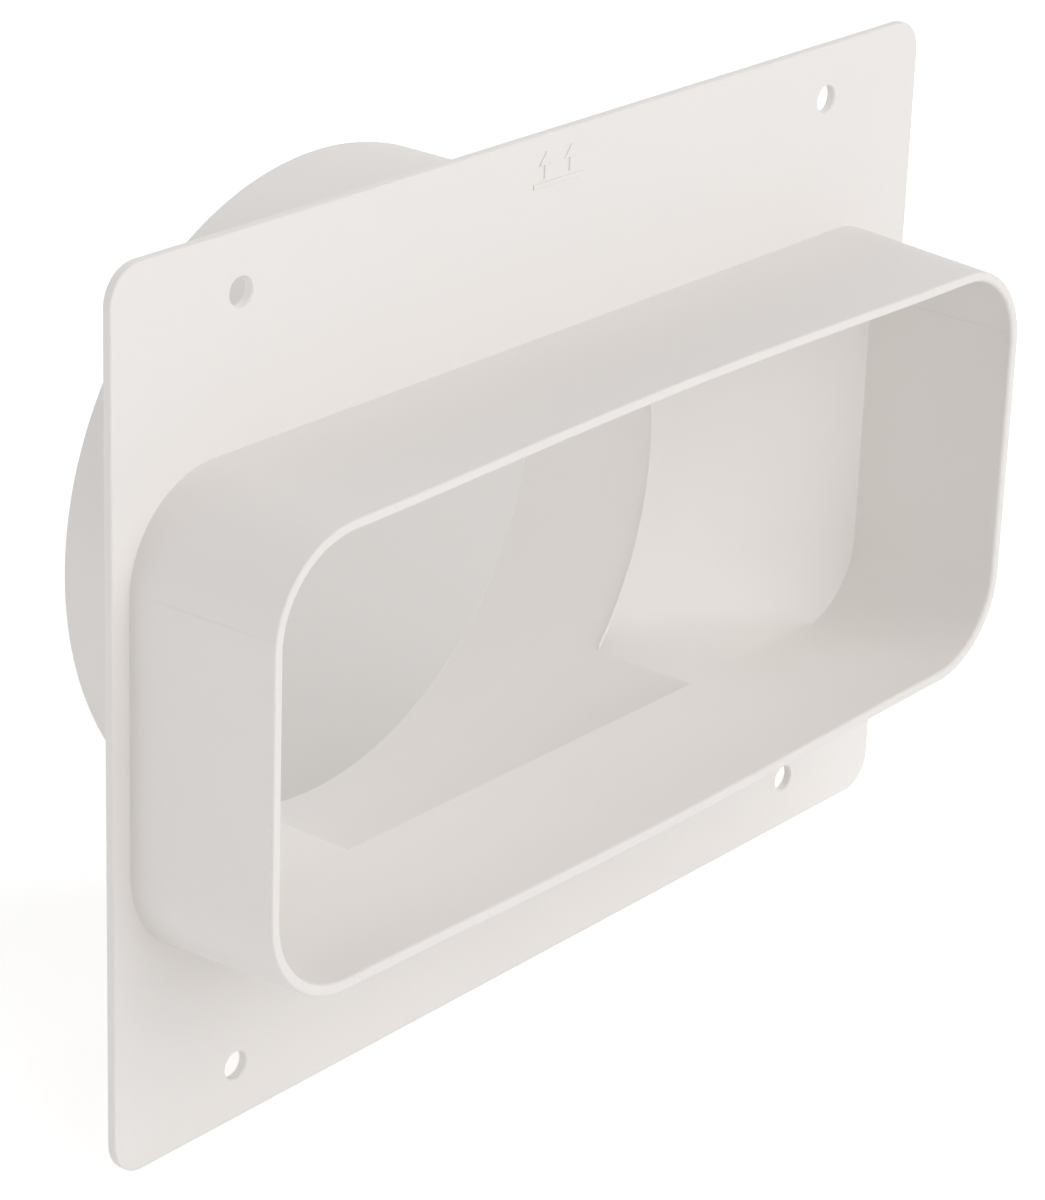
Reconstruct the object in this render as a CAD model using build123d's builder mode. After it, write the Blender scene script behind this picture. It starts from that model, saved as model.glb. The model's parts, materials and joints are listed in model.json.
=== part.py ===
import os
from math import atan2, radians, sqrt, tan

from build123d import *

# Wall plate. The origin is the centre of its wall side; +Z is up and -Y is the room
plate_width = 230.0
plate_height = 170.0
plate_thickness = 1.8
plate_corner_radius = 7.0
plate_edge_chamfer = 0.4

# Four plain screw holes, set in from the plate's edges
screw_inset_x = 31.0
screw_inset_z = 11.0
screw_hole_diameter = 5.5

# Flat-duct spigot on the room side, drafted inside and out, measured outside at its rim
spigot_width = 220.0
spigot_height = 90.0
spigot_reach = 32.5
spigot_wall = 1.8
spigot_corner_radius = 19.5
spigot_draft = 1.6
spigot_rim_chamfer = 0.45

# Round spigot on the wall side
tube_diameter = 137.5
tube_wall = 1.7
tube_reach = 57.0
tube_end_chamfer = 0.4

# Two ramps behind the plate lead the ends of the flat duct into the round spigot
ramp_depth = 24.0
ramp_wall = 1.7

# Sizes that follow from the ones above
screw_spacing_x = plate_width - 2 * screw_inset_x
screw_spacing_z = plate_height - 2 * screw_inset_z
outer_flare = spigot_reach * tan(radians(spigot_draft))
inner_taper = (spigot_reach + plate_thickness) * tan(radians(spigot_draft))
rim_inner_width = spigot_width - 2 * spigot_wall
rim_inner_height = spigot_height - 2 * spigot_wall
rim_inner_radius = spigot_corner_radius - spigot_wall
throat_width = rim_inner_width - 2 * inner_taper
throat_height = rim_inner_height - 2 * inner_taper
throat_radius = rim_inner_radius - inner_taper
tube_radius = tube_diameter / 2
bore_radius = tube_radius - tube_wall
ramp_turn = atan2(throat_width / 2 - bore_radius, ramp_depth)
ramp_shift = ramp_wall * tan(ramp_turn / 2)
rim_y = -plate_thickness - spigot_reach
rim_ease = min(spigot_rim_chamfer, spigot_wall / 3)
tube_ease = min(tube_end_chamfer, tube_wall / 3)


def depth(y):
    """A plane that faces the room, y behind the plate's wall side."""
    return Plane.XZ.offset(-y)


def duct_section(y, width, height, radius):
    """The flat duct's outline at depth y: each end is a corner, a straight and a corner."""
    with BuildSketch(depth(y)) as section:
        RectangleRounded(width, height, radius)
    return section


def throat_section(y, grow):
    """The throat's outline at depth y, grown outwards by a wall."""
    return duct_section(y, throat_width + 2 * grow, throat_height + 2 * grow, throat_radius + grow)


def round_section(y, grow):
    """The bore's circle at depth y, grown by a wall and cut flat at the throat's floor and ceiling.

    Each side arc is cut in three, so that its pieces meet a corner, a straight and a corner.
    """
    radius = bore_radius + grow
    half_height = throat_height / 2 + grow
    half_chord = sqrt(radius**2 - half_height**2)
    arc_height = (throat_height / 2 - throat_radius) * half_height / (throat_height / 2)
    arc_reach = sqrt(radius**2 - arc_height**2)
    with BuildSketch(depth(y)) as section:
        with BuildLine():
            Line((-half_chord, half_height), (half_chord, half_height))
            RadiusArc((half_chord, half_height), (arc_reach, arc_height), radius)
            RadiusArc((arc_reach, arc_height), (arc_reach, -arc_height), radius)
            RadiusArc((arc_reach, -arc_height), (half_chord, -half_height), radius)
            Line((half_chord, -half_height), (-half_chord, -half_height))
            RadiusArc((-half_chord, -half_height), (-arc_reach, -arc_height), radius)
            RadiusArc((-arc_reach, -arc_height), (-arc_reach, arc_height), radius)
            RadiusArc((-arc_reach, arc_height), (-half_chord, half_height), radius)
        make_face()
    return section


# Outlines from the front to the back: outside of the flat duct, its mouth and throat, and the ramps
rim = duct_section(rim_y, spigot_width, spigot_height, spigot_corner_radius)
foot = duct_section(
    -plate_thickness,
    spigot_width + 2 * outer_flare,
    spigot_height + 2 * outer_flare,
    spigot_corner_radius + outer_flare,
)
mouth = duct_section(rim_y, rim_inner_width, rim_inner_height, rim_inner_radius)
throat = throat_section(0, 0)
ramp_end = round_section(ramp_depth, 0)
collar = throat_section(-plate_thickness / 2, ramp_wall)
collar_end = throat_section(ramp_shift, ramp_wall)
shell_end = round_section(ramp_depth + ramp_shift, ramp_wall)

with BuildPart() as wall_spigot:
    # Plate, with its room-side edge eased
    with BuildSketch(depth(0)):
        RectangleRounded(plate_width, plate_height, plate_corner_radius)
    extrude(amount=plate_thickness)
    chamfer(faces().sort_by(Axis.Y)[0].edges(), length=plate_edge_chamfer)

    # Outside of the flat-duct spigot, widest at the plate
    loft(sections=[foot.sketch.face(), rim.sketch.face()], ruled=True)

    # Outside of the round spigot
    with BuildSketch(depth(0)):
        Circle(tube_radius)
    extrude(amount=-tube_reach)

    # Outside of the ramps: a collar against the plate, then the taper to the round spigot
    extrude(collar.sketch.face(), amount=-plate_thickness / 2 - ramp_shift)
    loft(sections=[collar_end.sketch.face(), shell_end.sketch.face()], ruled=True)

    # Way for the air: flat mouth, throat, ramps and round bore
    loft(sections=[mouth.sketch.face(), throat.sketch.face()], ruled=True, mode=Mode.SUBTRACT)
    loft(sections=[throat.sketch.face(), ramp_end.sketch.face()], ruled=True, mode=Mode.SUBTRACT)
    with BuildSketch(depth(0)):
        Circle(bore_radius)
    extrude(amount=-tube_reach, mode=Mode.SUBTRACT)

    # Eased rim of the flat duct and end of the round spigot
    chamfer(edges().group_by(Axis.Y)[0], length=rim_ease)
    chamfer(edges().group_by(Axis.Y)[-1], length=tube_ease)

    # Screw holes
    with BuildSketch(depth(0)):
        with GridLocations(screw_spacing_x, screw_spacing_z, 2, 2):
            Circle(screw_hole_diameter / 2)
    extrude(amount=plate_thickness, mode=Mode.SUBTRACT)

wall_spigot.part.label = "wall_spigot"

os.makedirs("parts", exist_ok=True)
export_step(wall_spigot.part, "parts/wall_spigot.step")
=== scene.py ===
import json
from math import asin, pi, radians, tan

import bmesh
import bpy
import numpy as np
from mathutils import Matrix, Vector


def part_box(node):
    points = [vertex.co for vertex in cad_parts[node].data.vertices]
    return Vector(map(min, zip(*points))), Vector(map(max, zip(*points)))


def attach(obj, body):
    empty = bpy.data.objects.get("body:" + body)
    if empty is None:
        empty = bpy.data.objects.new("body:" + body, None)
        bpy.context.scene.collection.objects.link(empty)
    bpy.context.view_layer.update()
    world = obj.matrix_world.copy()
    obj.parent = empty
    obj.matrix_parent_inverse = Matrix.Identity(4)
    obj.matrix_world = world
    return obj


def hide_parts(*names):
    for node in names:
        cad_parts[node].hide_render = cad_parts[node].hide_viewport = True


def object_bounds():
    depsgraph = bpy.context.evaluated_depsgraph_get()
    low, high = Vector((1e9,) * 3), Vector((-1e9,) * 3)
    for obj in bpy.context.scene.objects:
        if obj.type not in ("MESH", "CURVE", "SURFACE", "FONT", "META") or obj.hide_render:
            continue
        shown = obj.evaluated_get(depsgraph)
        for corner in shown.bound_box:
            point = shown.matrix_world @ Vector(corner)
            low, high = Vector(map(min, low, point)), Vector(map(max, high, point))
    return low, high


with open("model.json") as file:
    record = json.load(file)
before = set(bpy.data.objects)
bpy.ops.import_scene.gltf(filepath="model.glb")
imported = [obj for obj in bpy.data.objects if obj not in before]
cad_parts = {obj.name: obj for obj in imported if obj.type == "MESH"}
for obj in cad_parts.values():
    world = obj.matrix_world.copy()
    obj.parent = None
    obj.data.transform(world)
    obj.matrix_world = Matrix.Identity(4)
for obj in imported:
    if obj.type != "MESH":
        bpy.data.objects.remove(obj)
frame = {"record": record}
cadLow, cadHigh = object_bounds()
mm = 0.001
boxLow, boxHigh = [np.array(corner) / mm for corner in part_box("wall_spigot")]
mounts = {mount["name"]: mount["dims"] for mount in frame["record"]["mounts"]}
print("frame", np.round(boxLow, 2), np.round(boxHigh, 2))


# Loops and surfaces, in millimetres

# Columns of every loop, on its twelve stretches: right end, corner, side, middle, side, corner,
# and the same again turned round
columns = {"end": 22, "corner": 14, "side": 16, "middle": 48}
halfLoop = columns["end"] + 2 * columns["corner"] + 2 * columns["side"] + columns["middle"]


# Rounded rectangle: a centre and a turn go evenly along each stretch;
# the second half is the first one, half a turn on
def loopPath(halfX, halfZ, breakX):
    legs = (
        ((halfX, -halfZ), (halfX, halfZ), 0, 0, "end"),
        ((halfX, halfZ), (halfX, halfZ), 0, 1, "corner"),
        ((halfX, halfZ), (breakX, halfZ), 1, 1, "side"),
        ((breakX, halfZ), (-breakX, halfZ), 1, 1, "middle"),
        ((-breakX, halfZ), (-halfX, halfZ), 1, 1, "side"),
        ((-halfX, halfZ), (-halfX, halfZ), 1, 2, "corner"),
    )
    centres = []
    turns = []
    for start, end, turnStart, turnEnd, kind in legs:
        t = np.linspace(0, 1, columns[kind], endpoint=False)
        centres.append(np.outer(1 - t, start) + np.outer(t, end))
        turns.append((turnStart + (turnEnd - turnStart) * t) * pi / 2)
    centre = np.concatenate(centres)
    turn = np.concatenate(turns)
    turn = np.concatenate([turn, turn + pi])
    return np.concatenate([centre, -centre]), np.stack([np.cos(turn), np.sin(turn)], 1)


# Turns on a circle for the same columns: even steps between the turns at which the stretches end
def roundTurns(endTurn, cornerTurn, sideTurn):
    legs = (
        (-endTurn, endTurn, "end"),
        (endTurn, cornerTurn, "corner"),
        (cornerTurn, sideTurn, "side"),
        (sideTurn, pi - sideTurn, "middle"),
        (pi - sideTurn, pi - cornerTurn, "side"),
        (pi - cornerTurn, pi - endTurn, "corner"),
    )
    turn = np.concatenate([np.linspace(a, b, columns[kind], endpoint=False) for a, b, kind in legs])
    return np.concatenate([turn, turn + pi])


# Loop at depth y: each centre moved along its normal by the radius
def ring(path, radius, y):
    spot = path[0] + path[1] * radius
    return np.stack([spot[:, 0], np.full(len(spot), y), spot[:, 1]], 1)


# Circle at depth y: radius times the cosine and sine of each turn
def circle(turns, radius, y):
    return np.stack([radius * np.cos(turns), np.full(len(turns), y), radius * np.sin(turns)], 1)


# Ruled rows: straight lines from the first loop to the last, at the given parts of the way
def ruled(first, last, parts):
    t = np.asarray(parts, dtype=float)[:, None, None]
    return first * (1 - t) + last * t


# Quarter round from one profile point to another: an ellipse about the corner that the two share
def quarter(start, end, steps, radiusFirst):
    t = np.linspace(0, pi / 2, steps + 1)
    slow = 1 - np.cos(t)
    fast = np.sin(t)
    radial, deep = (slow, fast) if not radiusFirst else (fast, slow)
    return np.stack([start[0] + (end[0] - start[0]) * radial, start[1] + (end[1] - start[1]) * deep], 1)


# Surface of a profile of radius and depth, carried round the path
def carried(path, profile):
    return np.stack([ring(path, radius, y) for radius, y in profile])


# Quads of a grid whose columns close into a loop, but for the blocks of cells given as rows and columns
def gridQuads(rows, cols, gaps=()):
    index = np.arange(rows * cols).reshape(rows, cols)
    beside = np.roll(index, -1, 1)
    quads = np.stack([index[:-1], beside[:-1], beside[1:], index[1:]], 2)
    keep = np.ones((rows - 1, cols), dtype=bool)
    for rowStart, rowEnd, colStart, colEnd in gaps:
        keep[rowStart:rowEnd, colStart:colEnd] = False
    return quads[keep]


# One mesh of many patches: points put together, coincident ones welded, faces turned outwards
def weldedMesh(name, patches):
    points = np.concatenate([patch.reshape(-1, 3) for patch, quads in patches]) * mm
    starts = np.cumsum([0] + [patch.shape[0] * patch.shape[1] for patch, quads in patches[:-1]])
    faces = np.concatenate([quads + start for (patch, quads), start in zip(patches, starts)])
    mesh = bpy.data.meshes.new(name)
    mesh.from_pydata(points, [], faces)
    work = bmesh.new()
    work.from_mesh(mesh)
    bmesh.ops.remove_doubles(work, verts=work.verts, dist=1e-6)
    bmesh.ops.recalc_face_normals(work, faces=work.faces)
    work.to_mesh(mesh)
    openEdges = sum(not edge.is_manifold for edge in work.edges)
    print(name, len(mesh.vertices), "points", len(mesh.polygons), "faces", openEdges, "open edges")
    work.free()
    return mesh


# The moulding

# Sizes that the frame does not give. The rim's long sides bow out by rimRise between corners drawn in
# by rimDip. Past blendZ a ramp's arc meets the floor, not the throat's corner, so that the two flow together.
# The bead where a ramp ends in the bore is given by its steps inwards and their depths
mould = {
    "plateWall": 1.8, "plateCorner": 7.0, "plateEase": 0.4, "plateBackEase": 0.15, "plateBreak": 60.0,
    "rimHalfX": 110.0, "rimHalfZ": 45.0, "rimCorner": 19.5, "rimWall": 1.8, "rimLip": 2.15,
    "rimEase": 0.4, "rimInnerEase": 0.75, "rimDip": 1.2, "rimRise": 1.5, "bowSpan": 95.0,
    "draft": radians(1.6),
    "tubeWall": 1.7, "tubeEase": 0.45, "rampDepth": 24.0, "rampWall": 1.7, "blendZ": 34.5,
    "bead": ((0.5, 0.03), (0.62, 0.12), (0.62, 0.3), (0.4, 0.5), (0, 0.75)),
    "notchEase": 0.45, "chordEase": 0.12, "holeEase": 0.2, "sharpFrom": radians(30),
}
plateY = -mould["plateWall"]
rimY = boxLow[1]
tubeY = boxHigh[1]
slope = tan(mould["draft"])
cornerX = mould["rimHalfX"] - mould["rimCorner"]
cornerZ = mould["rimHalfZ"] - mould["rimCorner"]
footRadius = mould["rimCorner"] + (plateY - rimY) * slope
mouthRadius = mould["rimCorner"] - mould["rimLip"]
throatRadius = mould["rimCorner"] - mould["rimWall"] + rimY * slope
tubeRadius = mounts["round_spigot"]["r_mm"]
boreRadius = tubeRadius - mould["tubeWall"]

# Where the throat's floor and ceiling, and the shell outside them, meet the round walls
floorZ = cornerZ + throatRadius
shellZ = floorZ + mould["rampWall"]
floorTurn = asin(floorZ / boreRadius)
shellTurn = asin(shellZ / tubeRadius)
blendZ = mould["blendZ"]
shellGrow = shellZ / floorZ
boreTurns = roundTurns(asin(cornerZ / boreRadius), asin(blendZ / boreRadius), floorTurn)
tubeTurns = roundTurns(asin(cornerZ * shellGrow / tubeRadius), asin(blendZ * shellGrow / tubeRadius), shellTurn)
floorX = boreRadius * np.cos(floorTurn)
shellX = tubeRadius * np.cos(shellTurn)
rampTurn = np.arctan2(cornerX + throatRadius - boreRadius, mould["rampDepth"])
shellShift = mould["rampWall"] * tan(rampTurn / 2)

# Columns between the ramps, above and below
inMiddle = np.zeros(halfLoop, dtype=bool)
middleStart = columns["end"] + columns["corner"] + columns["side"]
inMiddle[middleStart : middleStart + columns["middle"] + 1] = True
inMiddle = np.tile(inMiddle, 2)[:, None]

ductPath = loopPath(cornerX, cornerZ, floorX)
shellPath = loopPath(cornerX, cornerZ, shellX)
platePath = loopPath(
    boxHigh[0] - mould["plateCorner"], boxHigh[2] - mould["plateCorner"], mould["plateBreak"]
)

# Flat duct: drafted outside, rounded rim and drafted inside, as one profile carried round
rimEase, innerEase = mould["rimEase"], mould["rimInnerEase"]
outerEdge = mould["rimCorner"]
ductProfile = np.concatenate([
    np.linspace((footRadius, plateY), (outerEdge + rimEase * slope, rimY + rimEase), 9)[:-1],
    quarter((outerEdge, rimY + rimEase), (outerEdge - rimEase, rimY), 5, False),
    quarter((mouthRadius + innerEase, rimY), (mouthRadius, rimY + innerEase), 6, True),
    np.linspace((mouthRadius, rimY + innerEase), (throatRadius, 0), 11)[1:],
])
ductWall = carried(ductPath, ductProfile)

# Even parts of the way along the step, a ramp and the tube
stepParts, rampParts, tubeParts = [np.linspace(0, 1, count) for count in (5, 17, 10)]

# Air's way: the floor and ceiling step out to the bore, the ends run down the ramps to the bead,
# then the bore goes to its end
throat = ring(ductPath, throatRadius, 0)
stepOut = np.where(inMiddle, circle(boreTurns, boreRadius, 0), throat)
rampEnd = circle(boreTurns, boreRadius, mould["rampDepth"])
boreEnd = circle(boreTurns, boreRadius, tubeY - mould["tubeEase"])
onRamp = np.where(inMiddle[:, 0], 0, 1)
bead = np.stack([
    circle(boreTurns, boreRadius - inset * onRamp, mould["rampDepth"] + deep) for inset, deep in mould["bead"]
])
airWay = np.concatenate([
    ruled(throat, stepOut, stepParts),
    ruled(stepOut, rampEnd, rampParts[1:]),
    bead,
    ruled(bead[-1], boreEnd, tubeParts[1:]),
])

# Outside of the round spigot and of the ramps, from the plate to the tube's end
shellRing = ring(shellPath, throatRadius + mould["rampWall"], 0)
collar = np.where(inMiddle, circle(tubeTurns, tubeRadius, 0), shellRing)
collarTop = collar + (0, shellShift, 0)
shellEnd = circle(tubeTurns, tubeRadius, mould["rampDepth"] + shellShift)
tubeEnd = circle(tubeTurns, tubeRadius, tubeY - mould["tubeEase"])
outside = np.concatenate([
    collar[None],
    ruled(collarTop, shellEnd, rampParts),
    ruled(shellEnd, tubeEnd, tubeParts[1:]),
])

# Rounded end of the tube, from the bore to the outside
tubeEase = mould["tubeEase"]
lipProfile = np.concatenate([
    quarter((boreRadius, tubeY - tubeEase), (boreRadius + tubeEase, tubeY), 4, False),
    quarter((tubeRadius - tubeEase, tubeY), (tubeRadius, tubeY - tubeEase), 4, True),
])
half = len(lipProfile) // 2
tubeLip = np.stack(
    [circle(boreTurns, radius, y) for radius, y in lipProfile[:half]]
    + [circle(tubeTurns, radius, y) for radius, y in lipProfile[half:]]
)

# Plate: rounded edge, and two faces ruled from the duct's foot and the collar to it
plateCorner = mould["plateCorner"]
plateEase = mould["plateEase"]
backEase = mould["plateBackEase"]
edgeProfile = np.concatenate([
    quarter((plateCorner - plateEase, plateY), (plateCorner, plateY + plateEase), 4, True),
    quarter((plateCorner, -backEase), (plateCorner - backEase, 0), 2, False),
])
plateEdge = carried(platePath, edgeProfile)
faceParts = np.concatenate([[0, 0.18, 0.36], np.linspace(0.545, 0.907, 7), [1]])
frontFace = ruled(ductWall[0], plateEdge[0], faceParts)
backFace = ruled(collar, plateEdge[-1], faceParts)

# Blocks of six by six cells around the screw holes, left out of both faces
blockRows = (3, 9)
firstBlock = columns["end"] + columns["corner"] + 4
secondBlock = firstBlock + columns["side"] + columns["middle"] + 2
blocks = [(*blockRows, start, start + 6) for start in (
    firstBlock, secondBlock, firstBlock + halfLoop, secondBlock + halfLoop
)]


# Border of a block of rows and columns, once round
def border(face, block):
    cells = face[block[0] : block[1] + 1, block[2] : block[3] + 1]
    return np.concatenate([cells[0, :-1], cells[:-1, -1], cells[-1, :0:-1], cells[:0:-1, 0]])


# Screw hole: the front border, a round profile about the hole's centre towards each border point,
# and the back border
def screwSleeve(block):
    front = border(frontFace, block)
    back = border(backFace, block)
    middle = front.mean(0)
    spacing = mounts["fixing_holes"]["spacing_x_mm"], mounts["fixing_holes"]["spacing_y_mm"]
    centre = np.array([np.copysign(spacing[0] / 2, middle[0]), 0, np.copysign(spacing[1] / 2, middle[2])])
    way = (front - centre) * (1, 0, 1)
    way /= np.linalg.norm(way, axis=1)[:, None]
    radius = mounts["fixing_holes"]["hole_r_mm"]
    ease = mould["holeEase"]
    profile = np.concatenate([
        quarter((radius + ease, plateY), (radius, plateY + ease), 3, False),
        [(radius, -ease / 2), (radius + ease / 2, 0)],
    ])
    rows = [front] + [centre + way * r + (0, y, 0) for r, y in profile] + [back]
    return np.stack(rows)


sleeves = [screwSleeve(block) for block in blocks]
whole = (ductWall, airWay, tubeLip, outside, plateEdge, *sleeves)
patches = [(patch, gridQuads(*patch.shape[:2])) for patch in whole]
patches += [(face, gridQuads(*face.shape[:2], blocks)) for face in (frontFace, backFace)]


# The long sides' bow: heights in front of the plate grow by a smooth hump of x, more towards the rim
def bowed(points):
    x, y, z = points[..., 0], points[..., 1], points[..., 2]
    hump = np.clip(1 - (x / mould["bowSpan"]) ** 2, 0, 1) ** 2
    forward = np.clip((plateY - y) / (plateY - rimY), 0, 1)
    grow = 1 + (mould["rimRise"] * hump - mould["rimDip"]) * forward / mould["rimHalfZ"]
    return np.stack([x, y, z * grow], -1)


mesh = weldedMesh("moulding", [(bowed(patch), quads) for patch, quads in patches])


# Points of the lip's edges: the chord where the floor or the ceiling ends is as high as it, at the plate;
# a notch goes back from the chord's end to where the ramp's arc begins
def lipParts(points, near=0.01):
    x, y, z = np.abs(points).T
    atFloor = np.abs(z - floorZ) < near
    chord = atFloor & (y < near) & (x < floorX + near)
    notch = atFloor & (np.abs(x - floorX) < near) & (y < mould["rampDepth"] + near)
    return chord, notch


work = bmesh.new()
work.from_mesh(mesh)
chord, notch = lipParts(np.array([point.co for point in work.verts]) / mm)
chordEdges = [edge for edge in work.edges if chord[edge.verts[0].index] and chord[edge.verts[1].index]]
notchEdges = [edge for edge in work.edges if notch[edge.verts[0].index] and notch[edge.verts[1].index]]
for edges, ease in ((notchEdges, mould["notchEase"]), (chordEdges, mould["chordEase"])):
    bmesh.ops.bevel(
        work, geom=[edge for edge in edges if edge.is_valid], offset=ease * mm, segments=3, profile=0.5,
        affect="EDGES", clamp_overlap=False,
    )
work.to_mesh(mesh)
work.free()
mesh.shade_smooth()
mesh.set_sharp_from_angle(angle=mould["sharpFrom"])
moulding = bpy.data.objects.new("moulding", mesh)
bpy.context.collection.objects.link(moulding)
weighted = moulding.modifiers.new("weighted", "WEIGHTED_NORMAL")
weighted.keep_sharp = True
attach(moulding, "root")
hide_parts("wall_spigot")
print("moulding: lip edges", len(chordEdges), len(notchEdges))


# Raised mark near the plate's top edge: two plain arrows that point up, over a bar

upMark = {
    "z": 78.4, "height": 0.3, "sunk": 0.2, "ease": 0.14, "arrowX": 3.6, "arrowZ": 0.7, "barZ": -2.9,
    "arrow": ((-0.45, -2.5), (0.45, -2.5), (0.45, 0.1), (1.9, 0.1), (0, 2.6), (-1.9, 0.1), (-0.45, 0.1)),
    "arrowHeart": (0, 0.4), "barHalf": (7.0, 0.45),
}


# Pad on the plate: an outline, moved in by mitred edges for the ease, then drawn to a point that sees it all
def raisedPad(outline, heart):
    before = outline - np.roll(outline, 1, 0)
    before /= np.linalg.norm(before, axis=1)[:, None]
    after = np.roll(before, -1, 0)
    inBefore = np.stack([-before[:, 1], before[:, 0]], 1)
    inAfter = np.stack([-after[:, 1], after[:, 0]], 1)
    inward = (inBefore + inAfter) / (1 + (inBefore * inAfter).sum(1))[:, None]
    rows = [
        (outline, upMark["sunk"]),
        (outline, upMark["ease"] - upMark["height"]),
        (outline + inward * upMark["ease"] * 0.3, upMark["ease"] * 0.3 - upMark["height"]),
        (outline + inward * upMark["ease"], -upMark["height"]),
        (np.zeros_like(outline) + heart, -upMark["height"]),
    ]
    rows = [(np.zeros_like(outline) + heart, upMark["sunk"])] + rows
    return np.stack([
        np.stack([flat[:, 0], np.full(len(flat), plateY + rise), flat[:, 1] + upMark["z"]], 1)
        for flat, rise in rows
    ])


barX, barZ = upMark["barHalf"]
bar = np.array([(-barX, -barZ), (barX, -barZ), (barX, barZ), (-barX, barZ)]) + (0, upMark["barZ"])
pads = [raisedPad(bar, (0, upMark["barZ"]))]
for side in (-1, 1):
    shift = np.array([side * upMark["arrowX"], upMark["arrowZ"]])
    pads.append(raisedPad(np.array(upMark["arrow"]) + shift, upMark["arrowHeart"] + shift))
markMesh = weldedMesh("upMark", [(pad, gridQuads(*pad.shape[:2])) for pad in pads])
mark = bpy.data.objects.new("upMark", markMesh)
bpy.context.collection.objects.link(mark)
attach(mark, "root")


# Material


# A socket that does sums: each operator adds a Math node, and node() adds any other
class Wire:
    def __init__(self, tree, socket=None):
        self.tree = tree
        self.socket = socket

    # Any node: its settings first, then values or links of its sockets by name or number
    def node(self, kind, settings, sockets, out=0):
        made = self.tree.nodes.new(kind)
        for name, value in settings.items():
            setattr(made, name, value)
        for name, value in sockets.items():
            if isinstance(value, Wire):
                self.tree.links.new(value.socket, made.inputs[name])
            else:
                made.inputs[name].default_value = value
        return Wire(self.tree, made.outputs[out] if made.outputs else None)

    # Another output of the node that this wire comes from
    def beside(self, out):
        return Wire(self.tree, self.socket.node.outputs[out])

    def sum(self, operation, first, second=0.0):
        return self.node("ShaderNodeMath", {"operation": operation}, {0: first, 1: second})

    def __add__(self, other):
        return self.sum("ADD", self, other)

    def __sub__(self, other):
        return self.sum("SUBTRACT", self, other)

    def __rsub__(self, other):
        return self.sum("SUBTRACT", other, self)

    def __mul__(self, other):
        return self.sum("MULTIPLY", self, other)

    def __truediv__(self, other):
        return self.sum("DIVIDE", self, other)

    def __rtruediv__(self, other):
        return self.sum("DIVIDE", other, self)

    def __pow__(self, other):
        return self.sum("POWER", self, other)

    __radd__ = __add__
    __rmul__ = __mul__


# Moulded plastic: soft clouds and fine grain, witness lines of the mould on the flat duct's ends
# and in the bore, and nicks along the rim
plastic = {
    "pale": (0.852, 0.822, 0.800, 1), "deep": (0.836, 0.803, 0.778, 1), "worn": (0.74, 0.705, 0.68, 1),
    "roughness": 0.42, "roughnessGrain": 0.16, "bump": 0.6,
    "clouds": 14.0, "grain": 1400.0, "grainDepth": 0.00002,
    "lineWidth": 0.00018, "lineDepth": 0.00003, "lineWear": 0.35,
    "endLineZ": 0.0274, "endLineY": (-0.0185, 0.0115), "endFrom": 0.105,
    "boreLines": ((0.0403, 0.034, -0.0365), (0.0186, 0.041, -0.048)),
    "nicks": 700.0, "nickFrom": 0.6, "nickDepth": 0.00012, "nickWear": 2.0, "rimFrom": -0.0335,
}
material = bpy.data.materials.new("offWhitePlastic")
material.use_nodes = True
tree = material.node_tree
tree.nodes.clear()
wire = Wire(tree)
place = wire.node("ShaderNodeTexCoord", {}, {}, "Object")
apart = wire.node("ShaderNodeSeparateXYZ", {}, {"Vector": place})
placeX, placeY, placeZ = [apart.beside(axis) for axis in "XYZ"]
clouds = wire.node("ShaderNodeTexNoise", {}, {"Vector": place, "Scale": plastic["clouds"], "Detail": 3.0})
grain = wire.node("ShaderNodeTexNoise", {}, {"Vector": place, "Scale": plastic["grain"], "Detail": 2.0})


# Soft line: one over one plus the fourth power of the distance from its middle, in half widths
def softLine(along, middle, width):
    off = (along - middle) / width
    return 1 / (1 + off * off * off * off)


onEnds = wire.sum("GREATER_THAN", wire.sum("ABSOLUTE", placeX), plastic["endFrom"])
endLine = softLine(placeZ, plastic["endLineZ"], plastic["lineWidth"]) * onEnds
endLine = endLine * softLine(placeY, *plastic["endLineY"])
boreLine = 0
for depth, fromX, belowZ in plastic["boreLines"]:
    here = wire.sum("GREATER_THAN", placeX, fromX) * wire.sum("LESS_THAN", placeZ, belowZ)
    boreLine = softLine(placeY, depth, plastic["lineWidth"]) * here + boreLine
chips = wire.node("ShaderNodeTexNoise", {}, {"Vector": place, "Scale": plastic["nicks"], "Detail": 1.0})
onRim = wire.sum("LESS_THAN", placeY, plastic["rimFrom"])
nicks = wire.sum("MAXIMUM", chips - plastic["nickFrom"], 0.0) * onRim
wear = endLine * plastic["lineWear"] + nicks * plastic["nickWear"]
tint = wire.node(
    "ShaderNodeMix", {"data_type": "RGBA"}, {"Factor": clouds, 6: plastic["deep"], 7: plastic["pale"]}, 2
)
tint = wire.node(
    "ShaderNodeMix", {"data_type": "RGBA"}, {"Factor": wear, 6: tint, 7: plastic["worn"]}, 2
)
height = grain * plastic["grainDepth"] + (boreLine - endLine) * plastic["lineDepth"]
height = height - nicks * plastic["nickDepth"]
bump = wire.node(
    "ShaderNodeBump", {}, {"Strength": plastic["bump"], "Distance": 1.0, "Height": height}, "Normal"
)
surface = wire.node("ShaderNodeBsdfPrincipled", {}, {
    "Base Color": tint, "Roughness": grain * plastic["roughnessGrain"] + plastic["roughness"], "Normal": bump,
})
wire.node("ShaderNodeOutputMaterial", {}, {"Surface": surface})
for piece in (moulding, mark):
    piece.data.materials.append(material)
print("material set")


# Floor, light and camera

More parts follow.
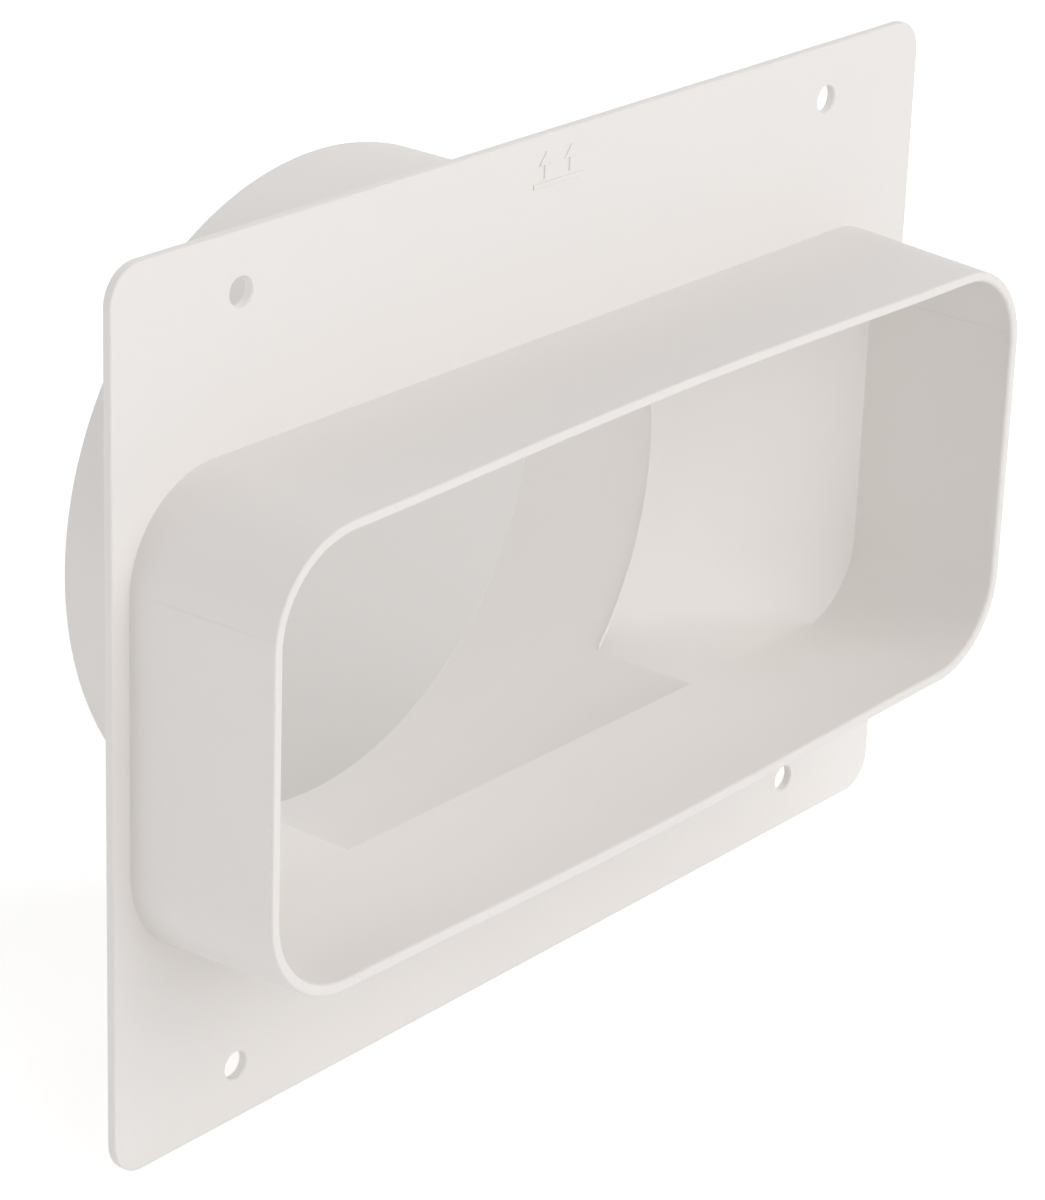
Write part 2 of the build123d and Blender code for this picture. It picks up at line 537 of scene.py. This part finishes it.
# Light comes in soft lobes: an axis, a power that narrows it, and a strength. The floor's colour carries a
# painted shadow, drawn as the plate's shade under a lamp at the camera, though no such lamp is set:
# it drifts and spreads with the way behind the plate, up to shadeFar
studio = {
    "floorHalf": 6.0, "floorTone": (0.88, 0.88, 0.88, 1), "floorGlow": 0.36, "floorLift": 0.06,
    "shadeTone": (0.57, 0.547, 0.528, 1), "shadeFar": 0.363, "shadeDrift": 0.454, "shadeHalf": 0.115,
    "shadeSpread": 0.092,
    "shadeAlong": (0.08, 0.22, 0.56, 0.78), "shadeAcross": (-0.96, -0.7, 0.04, 0.5),
    "lobes": (
        ((-0.49, -0.85, 0.17), 8.0, 1.02), ((0.00, -0.98, 0.17), 8.0, 1.57), ((0.30, -0.64, 0.71), 8.0, 2.17),
        ((0.84, 0.48, 0.26), 8.0, 0.8), ((0.41, 0.49, 0.77), 8.0, 0.95), ((0.00, 0.98, 0.17), 8.0, 2.1),
        ((-0.84, 0.48, 0.26), 8.0, 1.72),
    ),
}


# Rays that show the background: straight to the camera, mirrored or through glass
def shownRays(wires):
    straight = wires.node("ShaderNodeLightPath", {}, {}, "Is Camera Ray")
    mirrored = wires.sum("MAXIMUM", straight, straight.beside("Is Glossy Ray"))
    return wires.sum("MAXIMUM", mirrored, straight.beside("Is Transmission Ray"))


# Soft window: a smooth step up between the first two values, times a smooth step down between the last two
def softWindow(value, riseFrom, riseTo, fallFrom, fallTo):
    smooth = {"interpolation_type": "SMOOTHSTEP"}
    rise = value.node("ShaderNodeMapRange", smooth, {"Value": value, 1: riseFrom, 2: riseTo})
    fall = value.node("ShaderNodeMapRange", smooth, {"Value": value, 1: fallTo, 2: fallFrom})
    return rise * fall


floorMesh = bpy.data.meshes.new("floor")
reach = studio["floorHalf"]
floorZm = float(cadLow.z)
floorMesh.from_pydata(
    [(-reach, -reach, floorZm), (reach, -reach, floorZm), (reach, reach, floorZm), (-reach, reach, floorZm)],
    [], [(0, 1, 2, 3)],
)
floor = bpy.data.objects.new("floor", floorMesh)
bpy.context.collection.objects.link(floor)
paper = bpy.data.materials.new("paper")
paper.use_nodes = True
paperTree = paper.node_tree
paperTree.nodes.clear()
paperWire = Wire(paperTree)
seen = shownRays(paperWire)
spot = paperWire.node("ShaderNodeTexCoord", {}, {}, "Object")
split = paperWire.node("ShaderNodeSeparateXYZ", {}, {"Vector": spot})
# Mask of the painted shadow on the floor: smooth windows along the way behind the plate and across it
shadeWay = split.beside("Y") / studio["shadeFar"]
shadeHalf = shadeWay * studio["shadeSpread"] + studio["shadeHalf"]
shadeSide = (split - shadeWay * studio["shadeDrift"]) / shadeHalf
shade = softWindow(shadeWay, *studio["shadeAlong"]) * softWindow(shadeSide, *studio["shadeAcross"])
# Painted shadow: the floor's colour, as seen and in its glow, goes from white to shadeTone where the mask is
# high
seenTone = paperWire.node(
    "ShaderNodeMix", {"data_type": "RGBA"}, {"Factor": shade, 6: (1, 1, 1, 1), 7: studio["shadeTone"]}, 2
)
paperTone = paperWire.node(
    "ShaderNodeMix", {"data_type": "RGBA"}, {"Factor": seen, 6: studio["floorTone"], 7: seenTone}, 2
)
paperFace = paperWire.node("ShaderNodeBsdfDiffuse", {}, {"Color": paperTone})
paperGlow = paperWire.node(
    "ShaderNodeEmission", {},
    {"Color": seenTone, "Strength": seen * (studio["floorGlow"] - studio["floorLift"]) + studio["floorLift"]},
)
paperBoth = paperWire.node("ShaderNodeAddShader", {}, {0: paperFace, 1: paperGlow})
paperWire.node("ShaderNodeOutputMaterial", {}, {"Surface": paperBoth})
floorMesh.materials.append(paper)

world = bpy.data.worlds.new("studio")
bpy.context.scene.world = world
world.use_nodes = True
worldTree = world.node_tree
worldTree.nodes.clear()
worldWire = Wire(worldTree)
looking = shownRays(worldWire)
facing = worldWire.node("ShaderNodeTexCoord", {}, {}, "Generated")
light = 0
for axis, power, level in studio["lobes"]:
    unit = np.array(axis) / np.linalg.norm(axis)
    along = worldWire.node(
        "ShaderNodeVectorMath", {"operation": "DOT_PRODUCT"}, {0: facing, 1: unit}, "Value"
    )
    light = worldWire.sum("MAXIMUM", along, 0.0) ** power * level + light
strength = worldWire.node("ShaderNodeMix", {}, {"Factor": looking, "A": light, "B": 1.0})
sky = worldWire.node("ShaderNodeBackground", {}, {"Color": (1, 1, 1, 1), "Strength": strength})
worldWire.node("ShaderNodeOutputWorld", {}, {"Surface": sky})

# Camera: where it stands in metres, which way it looks, its roll, and its lens
view = {
    "place": (-0.566643, -0.452996, 0.297184), "azimuth": 51.1844, "down": 22.8332, "roll": 2.0586,
    "lens": 124.03, "sensor": 36, "clipEnd": 50,
}
camera = bpy.data.objects.new("camera", bpy.data.cameras.new("camera"))
camera.data.lens = view["lens"]
camera.data.sensor_width = view["sensor"]
camera.data.clip_end = view["clipEnd"]
turnRound = Matrix.Rotation(-radians(view["azimuth"]), 4, "Z")
tip = Matrix.Rotation(pi / 2 - radians(view["down"]), 4, "X")
roll = Matrix.Rotation(radians(view["roll"]), 4, "Z")
camera.matrix_world = Matrix.Translation(view["place"]) @ turnRound @ tip @ roll
bpy.context.collection.objects.link(camera)
bpy.context.scene.camera = camera
bpy.context.scene.view_settings.view_transform = "Standard"
print("studio set")
